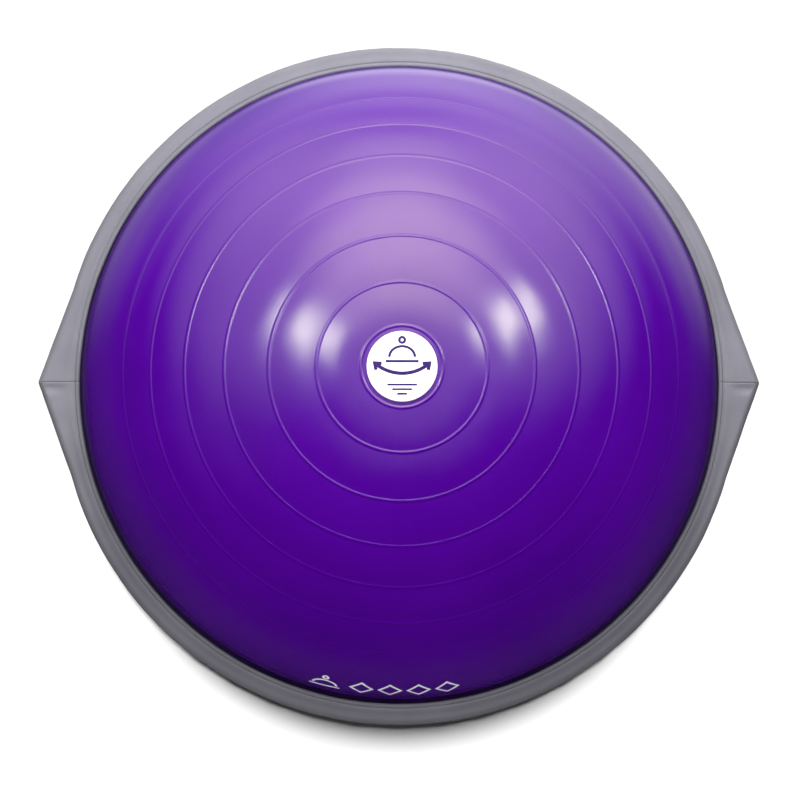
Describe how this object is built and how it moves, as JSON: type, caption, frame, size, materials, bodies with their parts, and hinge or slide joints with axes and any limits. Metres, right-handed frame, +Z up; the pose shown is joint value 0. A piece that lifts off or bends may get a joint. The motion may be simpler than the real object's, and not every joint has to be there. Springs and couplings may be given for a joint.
{
  "type": "balance dome trainer",
  "caption": "Air-filled PVC half dome with concentric grip ribs on a round flat platform, edged by a grey vinyl skirt with two pointed corners over recessed finger grips.",
  "frame": {"origin": "on the floor below the centre of the dome", "axes": "+Z up through the crown of the dome, +X through the right-hand corner and its finger grip, -Y towards the front"},
  "size_m": [0.6898, 0.65, 0.23],
  "materials": {
    "dome_pvc": "glossy soft PVC with fine moulded grain",
    "label_print": "printed white PVC disc",
    "chamber_pvc": "matt soft PVC",
    "valve_plastic": "moulded",
    "skirt_vinyl": "satin grained vinyl",
    "hem_cord": "braided",
    "platform_plastic": "textured moulded",
    "ring_plastic": "textured moulded",
    "foot_rubber": "matt",
    "screw_steel": "zinc plated"
  },
  "bodies": {
    "platform": {"platform_tray": "platform_plastic", "platform_deck": "platform_plastic", "retaining_ring": "ring_plastic", "hem_bead": "hem_cord", "skirt_front": "skirt_vinyl", "skirt_rear": "skirt_vinyl", "bladder_diaphragm": "chamber_pvc", "valve_body": "valve_plastic", "grip_cup_right": "ring_plastic", "grip_cup_left": "ring_plastic", "rubber_foot_1": "foot_rubber", "rubber_foot_2": "foot_rubber", "rubber_foot_3": "foot_rubber", "rubber_foot_4": "foot_rubber", "rubber_foot_5": "foot_rubber", "rubber_foot_6": "foot_rubber", "rubber_foot_7": "foot_rubber", "rubber_foot_8": "foot_rubber", "ring_screw_1": "screw_steel", "ring_screw_2": "screw_steel", "ring_screw_3": "screw_steel", "ring_screw_4": "screw_steel", "ring_screw_5": "screw_steel", "ring_screw_6": "screw_steel", "ring_screw_7": "screw_steel", "ring_screw_8": "screw_steel", "ring_screw_9": "screw_steel", "ring_screw_10": "screw_steel", "ring_screw_11": "screw_steel", "ring_screw_12": "screw_steel", "deck_screw_1": "screw_steel", "deck_screw_2": "screw_steel", "deck_screw_3": "screw_steel", "deck_screw_4": "screw_steel", "deck_screw_5": "screw_steel", "deck_screw_6": "screw_steel", "deck_screw_7": "screw_steel", "deck_screw_8": "screw_steel"},
    "dome": {"dome_shell": "dome_pvc", "centre_label": "label_print"},
    "plug": {"valve_plug": "valve_plastic"}
  },
  "joints": [
    {"name": "dome_press", "type": "slide", "parent": "platform", "child": "dome", "axis": [0, 0, -1], "range_m": [0, 0.06], "stiffness_N_per_m": 13000, "springref_m": -0.004, "deforming": ["dome_shell"]},
    {"name": "plug_pull", "type": "slide", "parent": "platform", "child": "plug", "axis": [0, 0, -1], "range_m": [0, 0.018]}
  ]
}
